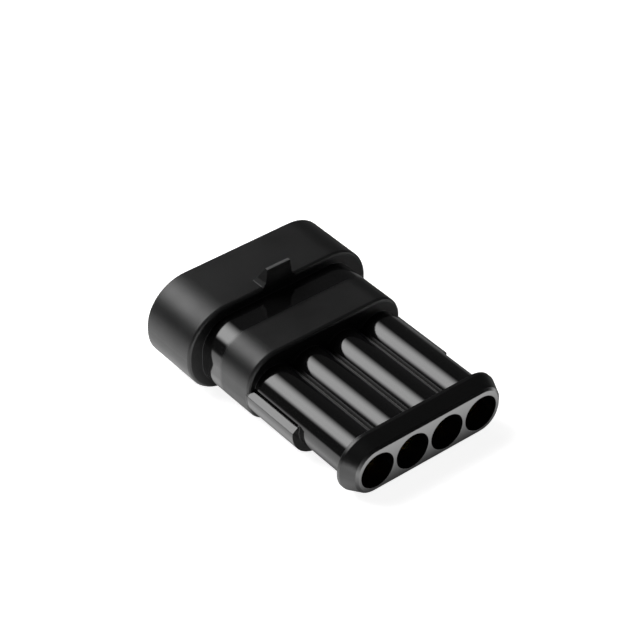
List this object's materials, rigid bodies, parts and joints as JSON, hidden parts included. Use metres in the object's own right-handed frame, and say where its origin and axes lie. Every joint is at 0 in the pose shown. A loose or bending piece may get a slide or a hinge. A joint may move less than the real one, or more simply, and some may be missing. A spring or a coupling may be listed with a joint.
{
  "type": "sealed automotive connector",
  "caption": "Sealed in-line connector half for road vehicles: tab contacts in a black moulded housing, with wire seals and a sliding secondary lock.",
  "frame": {"origin": "centre of the row of wire entries, on the flat rear face", "axes": "+X along the row of entries, +Y toward the mating end, +Z toward the latch side"},
  "size_m": [0.0314, 0.0416, 0.0165],
  "materials": {
    "housing_nylon": "black glass-filled nylon, glossy tubes and rails, fine matte texture on the block and the shroud",
    "lock_nylon": "natural nylon, satin",
    "tinned_contact": "bright tin plate",
    "seal_silicone": "silicone, satin"
  },
  "bodies": {
    "connector_body": {"housing": "housing_nylon", "tab_contact_1": "tinned_contact", "tab_contact_2": "tinned_contact", "tab_contact_3": "tinned_contact", "tab_contact_4": "tinned_contact", "wire_seal_1": "seal_silicone", "wire_seal_2": "seal_silicone", "wire_seal_3": "seal_silicone", "wire_seal_4": "seal_silicone"},
    "secondary_lock": {"lock_plate": "lock_nylon"}
  },
  "joints": [
    {"name": "lock_slide", "type": "slide", "parent": "connector_body", "child": "secondary_lock", "axis": [0, 1, 0], "range_m": [0, 0.0018]}
  ]
}
